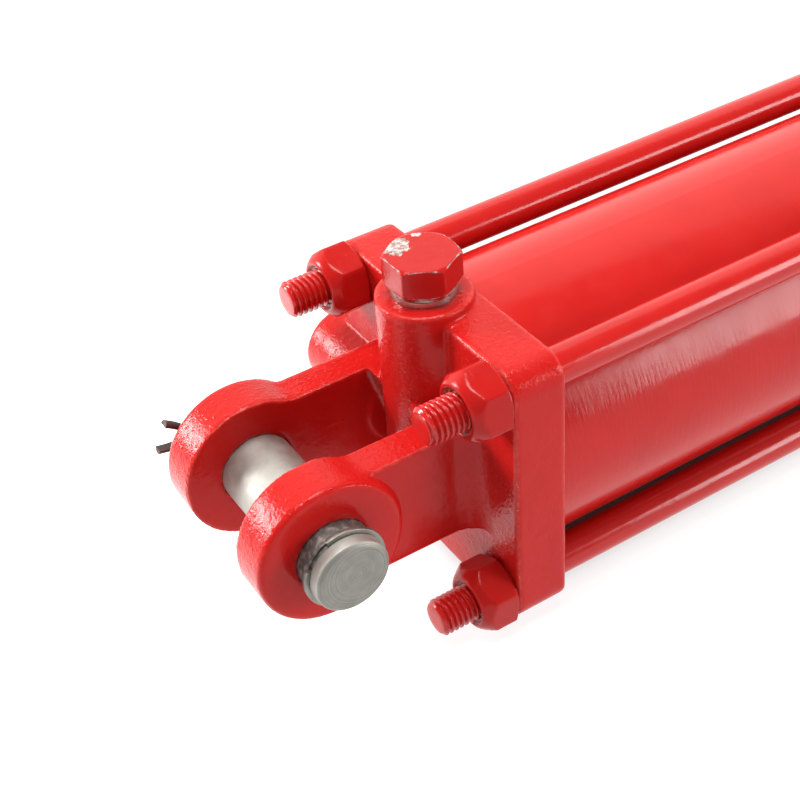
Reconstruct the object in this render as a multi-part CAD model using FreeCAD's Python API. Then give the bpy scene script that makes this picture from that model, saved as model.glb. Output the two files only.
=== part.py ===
import FreeCAD, Part

# Double-acting tie-rod hydraulic cylinder with a clevis and pin at each end.
# Millimetres. Frame: the origin is the centre of the base clevis pin, +X runs along the
# cylinder towards the rod end, +Y along both clevis pins, +Z up. It is drawn retracted.

import math
import os

from FreeCAD import Vector

X_AXIS = Vector(1, 0, 0)
Y_AXIS = Vector(0, 1, 0)
Z_AXIS = Vector(0, 0, 1)

# ---- driving dimensions ----------------------------------------------------------------
BORE = 88.9                      # 3 1/2 in
STROKE = 203.2                   # 8 in
PIN_TO_PIN = 514.35              # retracted, 20 1/4 in
ROD_D = 31.75                    # 1 1/4 in
TUBE_OD = 98.4
PIN_D = 25.4                     # 1 in

CAP_SIZE = 101.6                 # square end caps
CAP_CORNER_R = 8.0
BASE_CAP_START = 55.3            # from the base pin to the cap's outer face
BASE_CAP_THICK = 19.05
HEAD_CAP_START = 345.0
HEAD_CAP_THICK = 31.75

TIE_SPACING = 81.0               # square pattern of the tie rods
TIE_D = 12.7                     # 1/2-13 UNC
TIE_HOLE_D = 13.5
TIE_STICK_OUT = 26.2             # stud past each cap's outer face
NUT_AF = 22.2                    # heavy 7/8 in hexagon
NUT_LENGTH = 13.7
NUT_CONE_START = 8.8
NUT_CONE_END = 12.9
NUT_CONE_R = 9.8
NUT_TIP_R = 8.6
NUT_TURNS = (19.0, 20.0, 33.0, 47.0)     # how each nut happened to stop, degrees
HEAD_NUT_TURN = 11.0                     # further turn of the nuts on the head

CLEVIS_GAP = 33.3
EAR_THICK = 15.9
ARM_THICK = 12.1
EAR_R = 25.4
ARM_HALF_HEIGHT = 20.8

TOP_BOSS_R = 15.8
SIDE_BOSS_R = 15.0
PORT_THREAD_R = 8.7              # 3/4-16 UNF, minor radius
PORT_THREAD_DEPTH = 16.0
TOP_BOSS_REACH = 55.1            # end of the upper boss from the axis
SIDE_BOSS_REACH = 60.0           # end of the side boss from the axis
OIL_WAY_R = 5.5

SPIGOT_LENGTH = 14.0             # part of the base cap inside the tube
SPIGOT_RECESS_R = 30.0           # the base cap's spigot is hollow
SPIGOT_RECESS_START = 5.0        # how far the hollow goes into the cap
HEAD_COLLAR_R = 30.0             # round boss round the rod
HEAD_COLLAR_LENGTH = 6.0
ROOT_FILLET_R = 9.0              # near arm to cap
RUNNING = 0.05                   # radial running clearance
SLIP = 0.1                       # radial gap of a bolt or ring in its seat
SEAT = 0.03                      # radial gap of a thread or screw in its hole
SQUEEZE = 0.02                   # radial gap of a seal at rest against its wall

# ---- worked-out places -----------------------------------------------------------------
BASE_CAP_END = BASE_CAP_START + BASE_CAP_THICK
HEAD_CAP_END = HEAD_CAP_START + HEAD_CAP_THICK
BASE_SPIGOT_END = BASE_CAP_END + SPIGOT_LENGTH
PISTON_START = BASE_SPIGOT_END + 1.0
PISTON_END = PISTON_START + 36.0
HEAD_SPIGOT_END = PISTON_END + STROKE + 1.0
BORE_R = BORE / 2
TUBE_R = TUBE_OD / 2
ROD_R = ROD_D / 2
PIN_R = PIN_D / 2
BASE_PORT_X = 57.7
HEAD_PORT_X = HEAD_CAP_START + HEAD_CAP_THICK / 2
OIL_WAY_DEPTH = 35.0             # axis of the drillings from the ports into the bore
CORNERS = [(1, 1), (-1, 1), (-1, -1), (1, -1)]     # signs of Y and Z

ROD_SHANK_R = 12.7               # the rod's turned end inside the piston
ROD_THREAD_R = 14.3              # the rod's threaded end inside the clevis
CLEVIS_HUB_START = 440.0
CLEVIS_HUB_R = 25.0
CLEVIS_ROOT = PIN_TO_PIN - BASE_CAP_START
CLEVIS_FLOOR = PIN_TO_PIN - 45.0
ROD_END = CLEVIS_FLOOR - 8.0

RING_Y = -39.0                   # snap ring's middle on a pin
RING_THICK = 1.7
RING_GROOVE_R = 11.6
RING_OUTER_R = 14.2
RING_GAP_HALF = math.radians(22.5)
RING_GAP_TURN = 134.0            # from +X towards +Z, degrees
COTTER_Y = 39.0
COTTER_R = 2.0
COTTER_LEG_R = 1.4
COTTER_LEG_START = 13.2          # from the pin's axis
COTTER_LEG_LENGTH = 12.8
COTTER_SPREAD = math.radians(20) # each leg, away from the shank's line
COTTER_EYE_R = 4.4
COTTER_EYE_WIRE_R = 1.4
PIN_NEAR = -45.0
PIN_FAR = 45.0


# ---- small helpers ---------------------------------------------------------------------
def cylinder(radius, start, direction, length):
    return Part.makeCylinder(radius, length, start, direction)


def bar(radius, x0, x1, y=0.0, z=0.0):
    """A round bar along X."""
    return Part.makeCylinder(radius, x1 - x0, Vector(x0, y, z), X_AXIS)


def tube(outer, inner, x0, x1):
    """A round tube on the cylinder's axis."""
    return bar(outer, x0, x1).cut(bar(inner, x0 - 1, x1 + 1))


def block(x0, x1, y0, y1, z0, z1):
    return Part.makeBox(x1 - x0, y1 - y0, z1 - z0, Vector(x0, y0, z0))


def turned(profile, axis_point=Vector(0, 0, 0)):
    """A solid of revolution about X: the profile lists (x, radius)."""
    points = [Vector(x, r, 0) for x, r in profile]
    face = Part.Face(Part.makePolygon(points + [points[0]]))
    solid = face.revolve(Vector(0, 0, 0), X_AXIS, 360)
    solid.translate(axis_point)
    return solid


def hexagon_prism(across_flats, length):
    """Along +Z from the origin, with flats facing +X and -X."""
    corner = across_flats / math.sqrt(3)
    turns = [math.radians(30 + 60 * i) for i in range(7)]
    points = [Vector(corner * math.cos(a), corner * math.sin(a), 0) for a in turns]
    return Part.Face(Part.makePolygon(points)).extrude(Vector(0, 0, length))


def rounded_square(size, corner_r, x0, x1):
    """A square plate across X with round corners."""
    half = size / 2
    plate = block(x0, x1, -half, half, -half, half)
    edges = [e for e in plate.Edges if abs(e.tangentAt(e.FirstParameter).x) > 0.9]
    return plate.makeFillet(corner_r, edges)


def fillet_where(shape, radius, wanted):
    """Rounds the edges whose middle point passes the test."""
    picked = []
    for edge in shape.Edges:
        middle = edge.valueAt((edge.FirstParameter + edge.LastParameter) / 2)
        if wanted(edge, middle):
            picked.append(edge)
    return shape.makeFillet(radius, picked)


def one_solid(shape):
    """The single clean solid of a boolean result."""
    clean = shape.removeSplitter()
    if len(clean.Solids) != 1 or not clean.isValid():
        raise ValueError("expected one valid solid, got %d" % len(clean.Solids))
    return clean.Solids[0]


# ---- clevis fork, shared by the base cap and the rod clevis ----------------------------
def fork_arm(side, root_x):
    """One arm of a fork whose pin is at X = 0, with its raised round ear."""
    inner = CLEVIS_GAP / 2
    y0 = inner if side > 0 else -inner - ARM_THICK
    arm = block(0, root_x, y0, y0 + ARM_THICK, -ARM_HALF_HEIGHT, ARM_HALF_HEIGHT)
    rim = cylinder(EAR_R, Vector(0, y0, 0), Y_AXIS, ARM_THICK)
    arm = arm.fuse(rim).removeSplitter()
    neck_x = math.sqrt(EAR_R ** 2 - ARM_HALF_HEIGHT ** 2)

    def is_neck(edge, middle):
        upright = abs(abs(middle.z) - ARM_HALF_HEIGHT) < 0.01
        return upright and abs(middle.x - neck_x) < 0.01

    arm = fillet_where(arm, 12.0, is_neck)
    outer = side * (inner + ARM_THICK)
    ear = cylinder(EAR_R, Vector(0, outer, 0), Y_AXIS * side, EAR_THICK - ARM_THICK)
    trim = Part.makeCone(EAR_R + 1.6, EAR_R - 1.4, 3.0,
                         Vector(0, side * (inner + EAR_THICK - 3.0 + 0.1), 0), Y_AXIS * side)
    keep = cylinder(EAR_R + 2, Vector(0, outer, 0), Y_AXIS * side, 0.9).fuse(trim)
    return arm.fuse(ear.common(keep))


def fork(root_x):
    arms = fork_arm(1, root_x).fuse(fork_arm(-1, root_x))
    reach = CLEVIS_GAP / 2 + EAR_THICK + 5
    hole = cylinder(PIN_R + RUNNING, Vector(0, -reach, 0), Y_AXIS, 2 * reach)
    return arms.cut(hole)


# ---- end caps --------------------------------------------------------------------------
def tie_points():
    half = TIE_SPACING / 2
    return [(sy * half, sz * half) for sy, sz in CORNERS]


def port_cutter(port_x, reach, direction, end_x):
    """Threaded mouth, oil way towards the axis and the drilling into the bore."""
    mouth = Vector(port_x, 0, 0) + direction * (reach - PORT_THREAD_DEPTH)
    thread = cylinder(PORT_THREAD_R, mouth, direction, PORT_THREAD_DEPTH + 1)
    foot = Vector(port_x, 0, 0) + direction * (OIL_WAY_DEPTH - OIL_WAY_R - 2)
    way = cylinder(OIL_WAY_R, foot, direction, reach - OIL_WAY_DEPTH)
    along = X_AXIS if end_x > port_x else -X_AXIS
    start = Vector(port_x, 0, 0) + direction * OIL_WAY_DEPTH
    into_bore = cylinder(OIL_WAY_R, start, along, abs(end_x - port_x) + 1)
    return thread.fuse(way).fuse(into_bore)


def port_boss(radius, port_x, reach, direction, foot=16.0):
    start = Vector(port_x, 0, 0) + direction * foot
    boss = cylinder(radius, start, direction, reach - foot)
    top = Vector(port_x, 0, 0) + direction * reach

    def is_rim(edge, middle):
        return abs((middle - top).dot(direction)) < 0.01

    return fillet_where(boss, 1.2, is_rim)


def square_cap(x0, x1):
    cap = rounded_square(CAP_SIZE, CAP_CORNER_R, x0, x1)

    def is_face_edge(edge, middle):
        return abs(middle.x - x0) < 0.01 or abs(middle.x - x1) < 0.01

    return fillet_where(cap, 1.0, is_face_edge)


def tie_holes(x0, x1):
    holes = [bar(TIE_HOLE_D / 2, x0 - 1, x1 + 1, y, z) for y, z in tie_points()]
    return holes[0].multiFuse(holes[1:])


def base_cap():
    cap = square_cap(BASE_CAP_START, BASE_CAP_END)
    inner = CLEVIS_GAP / 2
    # the slot's floor leans back from the foot of the upper boss
    top, behind = ARM_HALF_HEIGHT, BASE_CAP_START + 1.7
    floor = [(44.0, top), (behind, top), (behind, -top), (54.0, -top), (52.0, -8.0)]
    points = [Vector(x, -inner - 1, z) for x, z in floor]
    web = Part.Face(Part.makePolygon(points + [points[0]])).extrude(Y_AXIS * (CLEVIS_GAP + 2))
    body = cap.fuse(web)
    # the upper boss runs down the slot's floor as a round column
    column = port_boss(TOP_BOSS_R, BASE_PORT_X, TOP_BOSS_REACH, Z_AXIS, -ARM_HALF_HEIGHT)
    body = body.fuse(column)
    body = body.fuse(port_boss(SIDE_BOSS_R, BASE_PORT_X, SIDE_BOSS_REACH, Y_AXIS))
    body = body.fuse(fork(BASE_CAP_START + 2)).removeSplitter()
    outer = inner + ARM_THICK

    def is_arm_root(edge, middle):
        on_face = abs(middle.x - BASE_CAP_START) < 0.01
        beside = abs(abs(middle.y) - outer) < 0.01 and abs(middle.z) < 20
        return on_face and beside and middle.y < 0

    body = fillet_where(body, ROOT_FILLET_R, is_arm_root)
    body = body.fuse(bar(BORE_R - RUNNING, BASE_CAP_END - 1, BASE_SPIGOT_END))
    body = body.cut(bar(SPIGOT_RECESS_R, BASE_CAP_END - SPIGOT_RECESS_START,
                        BASE_SPIGOT_END + 1))
    body = body.cut(tie_holes(BASE_CAP_START, BASE_CAP_END))
    body = body.cut(port_cutter(BASE_PORT_X, TOP_BOSS_REACH, Z_AXIS, BASE_SPIGOT_END))
    body = body.cut(port_cutter(BASE_PORT_X, SIDE_BOSS_REACH, Y_AXIS, BASE_SPIGOT_END))
    return one_solid(body.cut(o_ring_groove(BASE_GROOVE_X)))


def head_cap():
    cap = square_cap(HEAD_CAP_START, HEAD_CAP_END)
    body = cap.fuse(port_boss(TOP_BOSS_R, HEAD_PORT_X, TOP_BOSS_REACH, Z_AXIS))
    body = body.fuse(port_boss(SIDE_BOSS_R, HEAD_PORT_X, SIDE_BOSS_REACH, Y_AXIS))
    body = body.fuse(bar(BORE_R - RUNNING, HEAD_SPIGOT_END, HEAD_CAP_START + 1))
    body = body.fuse(bar(HEAD_COLLAR_R, HEAD_CAP_END - 1, HEAD_CAP_END + HEAD_COLLAR_LENGTH))
    body = body.cut(bar(ROD_R + ROD_HOLE_GAP, HEAD_SPIGOT_END - 1, HEAD_CAP_END + 10))
    body = body.cut(bar(BEARING_R, BEARING_X[0] - 5, BEARING_X[1]))
    body = body.cut(bar(SEAL_R, SEAL_X[0], SEAL_X[1]))
    body = body.cut(bar(WIPER_R, WIPER_X[0], HEAD_CAP_END + 10))
    body = body.cut(tie_holes(HEAD_CAP_START, HEAD_CAP_END))
    body = body.cut(port_cutter(HEAD_PORT_X, TOP_BOSS_REACH, Z_AXIS, HEAD_SPIGOT_END))
    body = body.cut(port_cutter(HEAD_PORT_X, SIDE_BOSS_REACH, Y_AXIS, HEAD_SPIGOT_END))
    return one_solid(body.cut(o_ring_groove(HEAD_GROOVE_X)))


# ---- seals -----------------------------------------------------------------------------
O_RING_W = 4.6
BASE_GROOVE_X = BASE_CAP_END + 5.0
HEAD_GROOVE_X = HEAD_CAP_START - 9.6
ROD_HOLE_GAP = 0.35              # the head's own bore stands off the rod
O_RING_FLOOR = BORE_R - 2.9
BEARING_R = 19.05
BEARING_X = (HEAD_SPIGOT_END, HEAD_SPIGOT_END + 22.0)
SEAL_R = 22.2
SEAL_X = (HEAD_CAP_START + 11.0, HEAD_CAP_START + 18.5)
WIPER_R = 21.0
WIPER_X = (HEAD_CAP_END + 0.5, HEAD_CAP_END + 7.5)


def o_ring_groove(x0):
    return tube(BORE_R + 5, O_RING_FLOOR, x0, x0 + O_RING_W)


def soft_ring(outer, inner, x0, x1, corner=0.6):
    """A seal ring with bevelled corners."""
    return turned([(x0, inner + corner), (x0 + corner, inner), (x1 - corner, inner),
                   (x1, inner + corner), (x1, outer - corner), (x1 - corner, outer),
                   (x0 + corner, outer), (x0, outer - corner)])


def tube_seal(groove_x):
    return soft_ring(BORE_R - SQUEEZE, O_RING_FLOOR + SQUEEZE, groove_x + 0.4,
                     groove_x + O_RING_W - 0.4, 0.9)


def rod_seal():
    """A U-cup: the lips face the oil."""
    x0, x1 = SEAL_X[0] + 0.1, SEAL_X[1] - 0.1
    inner, outer = ROD_R + RUNNING, SEAL_R - SQUEEZE
    middle = (inner + outer) / 2
    return turned([(x0, inner), (x1 - 0.8, inner), (x1, inner + 0.8), (x1, outer - 0.8),
                   (x1 - 0.8, outer), (x0, outer), (x0, middle + 0.9), (x0 + 3.2, middle),
                   (x0, middle - 0.9)])


def rod_wiper():
    """Sits in the head's mouth, with a lip that leans out on the rod."""
    x0, x1 = WIPER_X
    inner, outer = ROD_R + RUNNING, WIPER_R - SQUEEZE
    return turned([(x0, inner + 1.2), (x0, outer), (x1 - 2.0, outer), (x1 - 1.0, inner + 3.6),
                   (x1 + 1.2, inner + 0.9), (x1 + 1.2, inner), (x1 - 0.6, inner)])


# ---- barrel and fasteners --------------------------------------------------------------
def barrel_tube():
    return tube(TUBE_R, BORE_R, BASE_CAP_END, HEAD_CAP_START)


def tie_rod(y, z):
    x0 = BASE_CAP_START - TIE_STICK_OUT
    x1 = HEAD_CAP_END + TIE_STICK_OUT
    r, bevel = TIE_D / 2, 1.4
    return turned([(x0, 0), (x0, r - bevel), (x0 + bevel, r), (x1 - bevel, r),
                   (x1, r - bevel), (x1, 0)], Vector(0, y, z))


def bevelled_hexagon(across_flats, profile, turn):
    """A hexagon bar along +X from the origin, trimmed by a turned profile of (x, radius)."""
    hexagon = hexagon_prism(across_flats, profile[-1][0])
    hexagon.rotate(Vector(0, 0, 0), Z_AXIS, turn)
    hexagon.rotate(Vector(0, 0, 0), Y_AXIS, 90)
    return hexagon.common(turned([(0, 0)] + profile + [(profile[-1][0], 0)]))


def lock_nut(seat_x, outward, y, z, turn):
    """Hexagon on a round washer face, its outer end a cone that locks on the thread."""
    corner = NUT_AF / math.sqrt(3)
    face_r, face_length = 10.5, 0.8
    nut = bevelled_hexagon(NUT_AF, [(0, face_r), (face_length, face_r),
                                    (face_length + 0.1, corner - 1.4),
                                    (face_length + 0.9, corner), (NUT_CONE_START, corner),
                                    (NUT_CONE_END, NUT_CONE_R), (NUT_LENGTH, NUT_TIP_R)], turn)
    nut = nut.cut(bar(TIE_D / 2 + SEAT, -1, NUT_LENGTH + 1))
    if outward < 0:
        nut = nut.mirror(Vector(0, 0, 0), X_AXIS)
    nut.translate(Vector(seat_x, y, z))
    return one_solid(nut)


# ---- port plugs ------------------------------------------------------------------------
WASHER_THICK = 2.0
WASHER_R = 10.4
WASHER_BORE_R = 9.0
PLUG_AF = 22.2
PLUG_HEAD_LENGTH = 11.9
PLUG_NECK_R = 10.2
PLUG_TURN = -0.5


def plug_washer(port_x):
    seat = Vector(port_x, 0, TOP_BOSS_REACH)
    ring = cylinder(WASHER_R, seat, Z_AXIS, WASHER_THICK)
    return ring.cut(cylinder(WASHER_BORE_R, seat - Z_AXIS, Z_AXIS, WASHER_THICK + 2))


def port_plug(port_x):
    """Hexagon head plug screwed into an upper port."""
    corner = PLUG_AF / math.sqrt(3)
    length = PLUG_HEAD_LENGTH
    head = bevelled_hexagon(PLUG_AF, [(0, PLUG_NECK_R), (1.0, PLUG_NECK_R), (3.0, corner),
                                      (length - 1.0, corner), (length, corner - 1.5)],
                            PLUG_TURN)
    plug = head.fuse(bar(PORT_THREAD_R - SEAT, -13.5, 0.5))
    plug.rotate(Vector(0, 0, 0), Y_AXIS, -90)
    plug.translate(Vector(port_x, 0, TOP_BOSS_REACH + WASHER_THICK))
    return one_solid(plug)


# ---- piston and rod --------------------------------------------------------------------
PISTON_R = BORE_R - 0.4
SEAL_FLOOR_R = 38.0
PISTON_SEAL_X = (PISTON_START + 20.0, PISTON_START + 27.0)
BAND_FLOOR_R = 41.6
BAND_X = (PISTON_START + 5.0, PISTON_START + 15.0)
ROD_NUT_X = (PISTON_START - 13.0, PISTON_START)
ROD_NUT_AF = 38.1
STATIC_RING_X = (PISTON_START + 16.0, PISTON_START + 19.6)
STATIC_RING_R = 15.6


def piston():
    body = bar(PISTON_R, PISTON_START, PISTON_END)
    body = body.makeChamfer(1.0, [e for e in body.Edges if e.Closed])
    body = body.cut(tube(PISTON_R + 5, BAND_FLOOR_R, *BAND_X))
    body = body.cut(tube(PISTON_R + 5, SEAL_FLOOR_R, *PISTON_SEAL_X))
    body = body.cut(bar(ROD_SHANK_R + SLIP, PISTON_START - 1, PISTON_END + 1))
    return one_solid(body.cut(bar(STATIC_RING_R, *STATIC_RING_X)))


def piston_static_ring():
    return soft_ring(STATIC_RING_R - SQUEEZE, ROD_SHANK_R + SQUEEZE, STATIC_RING_X[0] + 0.3,
                     STATIC_RING_X[1] - 0.3, 0.7)


def piston_seal():
    x0, x1 = PISTON_SEAL_X
    return soft_ring(BORE_R - RUNNING, SEAL_FLOOR_R + RUNNING, x0 + 0.1, x1 - 0.1, 0.8)


def wear_band():
    x0, x1 = BAND_X
    return soft_ring(BORE_R - RUNNING, BAND_FLOOR_R + RUNNING, x0 + 0.1, x1 - 0.1, 0.3)


def rod_nut():
    x0, x1 = ROD_NUT_X
    nut = hexagon_prism(ROD_NUT_AF, x1 - x0)
    nut.rotate(Vector(0, 0, 0), Y_AXIS, 90)
    nut.translate(Vector(x0, 0, 0))
    return one_solid(nut.cut(bar(ROD_SHANK_R + SEAT, x0 - 1, x1 + 1)))


def piston_rod():
    x0 = ROD_NUT_X[0] - 2.0
    neck = CLEVIS_HUB_START
    return turned([(x0, 0), (x0, ROD_SHANK_R - 1.5), (x0 + 1.5, ROD_SHANK_R),
                   (PISTON_END, ROD_SHANK_R), (PISTON_END, ROD_R), (neck - 1.2, ROD_R),
                   (neck, ROD_R - 1.2), (neck, ROD_THREAD_R), (ROD_END - 1.5, ROD_THREAD_R),
                   (ROD_END, ROD_THREAD_R - 1.5), (ROD_END, 0)])


# ---- rod clevis ------------------------------------------------------------------------
SET_SCREW_X = CLEVIS_HUB_START + 11.0
SET_SCREW_R = 4.0


def rod_clevis():
    outer = CLEVIS_GAP / 2 + ARM_THICK
    arms = fork(PIN_TO_PIN - CLEVIS_ROOT)
    arms.rotate(Vector(0, 0, 0), Z_AXIS, 180)
    arms.translate(Vector(PIN_TO_PIN, 0, 0))
    root = block(CLEVIS_ROOT - 3, CLEVIS_FLOOR, -outer, outer, -ARM_HALF_HEIGHT, ARM_HALF_HEIGHT)
    hub = bar(CLEVIS_HUB_R, CLEVIS_HUB_START, CLEVIS_ROOT + 3)
    hub = hub.makeChamfer(1.5, [e for e in hub.Edges if e.Closed])
    body = arms.fuse(root).fuse(hub).removeSplitter()

    def is_floor_corner(edge, middle):
        at_floor = abs(middle.x - CLEVIS_FLOOR) < 0.01
        return at_floor and abs(abs(middle.y) - CLEVIS_GAP / 2) < 0.01

    body = fillet_where(body, 5.0, is_floor_corner)
    body = body.cut(bar(ROD_THREAD_R + SEAT, CLEVIS_HUB_START - 1, ROD_END + 1.5))
    screw_hole = cylinder(SET_SCREW_R + SEAT, Vector(SET_SCREW_X, 0, 0), Z_AXIS, 40)
    return one_solid(body.cut(screw_hole))


def clevis_set_screw():
    foot = Vector(SET_SCREW_X, 0, ROD_THREAD_R + SQUEEZE)
    screw = cylinder(SET_SCREW_R, foot, Z_AXIS, 10.0)
    socket = hexagon_prism(4.0, 6.0)
    socket.translate(foot + Vector(0, 0, 5.5))
    return one_solid(screw.cut(socket))


# ---- clevis pins -----------------------------------------------------------------------
COTTER_DIRECTION = Vector(-math.cos(math.radians(23)), 0, math.sin(math.radians(23)))


def clevis_pin(pin_x):
    r, bevel = PIN_R, 1.2
    body = turned([(PIN_NEAR, 0), (PIN_NEAR, r - bevel), (PIN_NEAR + bevel, r),
                   (PIN_FAR - bevel, r), (PIN_FAR, r - bevel), (PIN_FAR, 0)])
    body = body.cut(tube(r + 3, RING_GROOVE_R, RING_Y - RING_THICK / 2 - SLIP,
                         RING_Y + RING_THICK / 2 + SLIP))
    body.rotate(Vector(0, 0, 0), Z_AXIS, 90)
    start = COTTER_DIRECTION * -20 + Vector(0, COTTER_Y, 0)
    body = body.cut(cylinder(COTTER_R + SLIP, start, COTTER_DIRECTION, 40))
    body.translate(Vector(pin_x, 0, 0))
    return one_solid(body)


def snap_ring(pin_x):
    """A plain external ring with a gap."""
    y0 = RING_Y - RING_THICK / 2
    ring = cylinder(RING_OUTER_R, Vector(0, y0, 0), Y_AXIS, RING_THICK)
    ring = ring.cut(cylinder(RING_GROOVE_R + SQUEEZE, Vector(0, y0 - 1, 0), Y_AXIS, 4))
    reach = 20.0
    gap_half = math.tan(RING_GAP_HALF) * reach
    wedge = Part.makePolygon([Vector(0, y0 - 1, 0), Vector(reach, y0 - 1, gap_half),
                              Vector(reach, y0 - 1, -gap_half), Vector(0, y0 - 1, 0)])
    gap = Part.Face(wedge).extrude(Y_AXIS * 4)
    gap.rotate(Vector(0, 0, 0), Y_AXIS, -RING_GAP_TURN)
    ring = ring.cut(gap)
    ring.translate(Vector(pin_x, 0, 0))
    return one_solid(ring)


def cotter(pin_x):
    """Split pin: an eye, a round shank through the pin and two spread legs."""
    u = COTTER_DIRECTION
    across = Vector(u.z, 0, -u.x)
    centre = Vector(0, COTTER_Y, 0)
    body = cylinder(COTTER_R, centre - u * 15.0, u, 29.0)
    for side in (1, -1):
        leg_way = u * math.cos(COTTER_SPREAD) + across * (side * math.sin(COTTER_SPREAD))
        start = centre + u * COTTER_LEG_START + across * (side * 0.6)
        body = body.fuse(cylinder(COTTER_LEG_R, start, leg_way, COTTER_LEG_LENGTH))
    body = body.fuse(Part.makeTorus(COTTER_EYE_R, COTTER_EYE_WIRE_R, centre - u * 19.0, Y_AXIS))
    body.translate(Vector(pin_x, 0, 0))
    return one_solid(body)


# ---- write one file per piece ----------------------------------------------------------
def pieces():
    yield "base_cap", base_cap()
    yield "head_cap", head_cap()
    yield "barrel_tube", barrel_tube()
    for number, (y, z) in enumerate(tie_points(), start=1):
        turn = NUT_TURNS[number - 1]
        yield "tie_rod_%d" % number, tie_rod(y, z)
        yield "base_nut_%d" % number, lock_nut(BASE_CAP_START, -1, y, z, turn)
        yield "head_nut_%d" % number, lock_nut(HEAD_CAP_END, 1, y, z, turn + HEAD_NUT_TURN)
    yield "base_tube_seal", tube_seal(BASE_GROOVE_X)
    yield "head_tube_seal", tube_seal(HEAD_GROOVE_X)
    for end, port_x in (("base", BASE_PORT_X), ("head", HEAD_PORT_X)):
        yield end + "_port_plug", port_plug(port_x)
        yield end + "_plug_washer", plug_washer(port_x)
    yield "rod_bearing", tube(BEARING_R, ROD_R + RUNNING, *BEARING_X)
    yield "rod_seal", rod_seal()
    yield "rod_wiper", rod_wiper()
    yield "piston", piston()
    yield "piston_static_ring", piston_static_ring()
    yield "piston_seal", piston_seal()
    yield "piston_wear_band", wear_band()
    yield "rod_nut", rod_nut()
    yield "piston_rod", piston_rod()
    yield "rod_clevis", rod_clevis()
    yield "clevis_set_screw", clevis_set_screw()
    for end, pin_x in (("base", 0.0), ("rod", PIN_TO_PIN)):
        yield end + "_pin", clevis_pin(pin_x)
        yield end + "_pin_snap_ring", snap_ring(pin_x)
        yield end + "_pin_cotter", cotter(pin_x)


def main():
    os.makedirs("parts", exist_ok=True)
    for name, shape in pieces():
        if not shape.isValid() or len(shape.Solids) != 1:
            raise ValueError(name + " is not one valid solid")
        shape.exportStep("parts/" + name + ".step")
        print("%-20s %10.1f mm3" % (name, shape.Volume))


main()
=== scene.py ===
# A red tie-rod hydraulic cylinder: painted castings, tube and fasteners, bare steel clevis pins.
# Metres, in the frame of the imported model: +X along the cylinder, +Y along the pins, +Z up.

import math

import bmesh
import bpy
import numpy as np
from mathutils import Matrix, Vector, noise


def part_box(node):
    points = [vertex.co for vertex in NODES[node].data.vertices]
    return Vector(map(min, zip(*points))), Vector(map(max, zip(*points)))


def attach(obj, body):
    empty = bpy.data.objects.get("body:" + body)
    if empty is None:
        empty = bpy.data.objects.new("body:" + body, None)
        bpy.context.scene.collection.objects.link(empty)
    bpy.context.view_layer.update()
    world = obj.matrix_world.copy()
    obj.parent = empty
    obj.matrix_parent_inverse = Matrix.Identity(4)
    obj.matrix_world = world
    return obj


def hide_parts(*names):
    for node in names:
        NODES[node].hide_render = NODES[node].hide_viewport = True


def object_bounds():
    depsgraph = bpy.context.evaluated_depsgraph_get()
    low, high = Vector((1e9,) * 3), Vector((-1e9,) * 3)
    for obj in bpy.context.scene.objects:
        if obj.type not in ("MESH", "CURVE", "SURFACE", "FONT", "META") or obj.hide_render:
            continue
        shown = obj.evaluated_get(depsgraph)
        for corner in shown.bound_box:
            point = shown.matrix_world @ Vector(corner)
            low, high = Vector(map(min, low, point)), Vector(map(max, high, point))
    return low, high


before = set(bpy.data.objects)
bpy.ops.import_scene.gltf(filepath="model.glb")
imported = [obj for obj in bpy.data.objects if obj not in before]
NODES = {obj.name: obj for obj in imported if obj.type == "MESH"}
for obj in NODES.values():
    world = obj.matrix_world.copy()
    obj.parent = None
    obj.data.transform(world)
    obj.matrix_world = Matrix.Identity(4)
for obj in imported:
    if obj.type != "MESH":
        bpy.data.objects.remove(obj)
cad_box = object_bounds()
MM = 0.001


# ---- sizes read from the frame ---------------------------------------------------------
def low(node):
    return Vector(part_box(node)[0])


def high(node):
    return Vector(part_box(node)[1])


def middle(node):
    return (low(node) + high(node)) / 2


# ---- camera, lights and floor ----------------------------------------------------------
CAMERA_PLACE = Vector((-0.1368, -0.3280, 0.3187))
CAMERA_HEADING = math.radians(29.1)      # from +Y towards +X
CAMERA_DIP = math.radians(38.8)
CAMERA_ROLL = math.radians(5.1)
CAMERA_FIELD = math.radians(30.06)

PAPER_LIGHT = 1.50
ROOM_LIGHT = 0.26
ROOM_TINT = (1.0, 0.965, 0.91, 1)
# The paper hangs on one side and ends near overhead. Each edge is where it fades, as how
# far a direction points that way.
PAPER_SIDE = (0.6, 0.8, 0)
PAPER_EDGE = (0.05, 0.50)
OVERHEAD_SIDE = (0, -0.15, 1)
OVERHEAD_EDGE = (0.77, 0.82)
OVERHEAD_SHARE = 0.2                     # what is left of the paper beyond its upper edge
# Name, heading from +Y towards +X and height in degrees, distance, size, brightness, aim.
SOFT_BOXES = (
    ("key", -42, 18, 1.4, (0.38, 0.56), 32.0, (0, 0, 0)),
    ("strip", 137, 12, 1.2, (0.52, 0.50), 9.5, (0.1, 0, 0)),
    ("overhead", -80, 84, 1.3, (0.55, 0.85), 13.2, (0.1, 0, 0)),
)

FLOOR_HALF = 20.0
FLOOR_GLOW = 0.86
FLOOR_TONE = 0.20
# Painted shade on the floor: it doesn't glow straight under the cylinder. Where that
# starts, its half width, and how far its edge fades.
SHADE_START = 0.05
SHADE_HALF_WIDTH = 0.045
SHADE_FADE = 0.023
# A brighter pool of light on the floor behind and to the left of the base clevis.
POOL_CENTRE = (-0.13, 0.17)
POOL_RADIUS = 0.28
POOL_GLOW = 1.3


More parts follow.
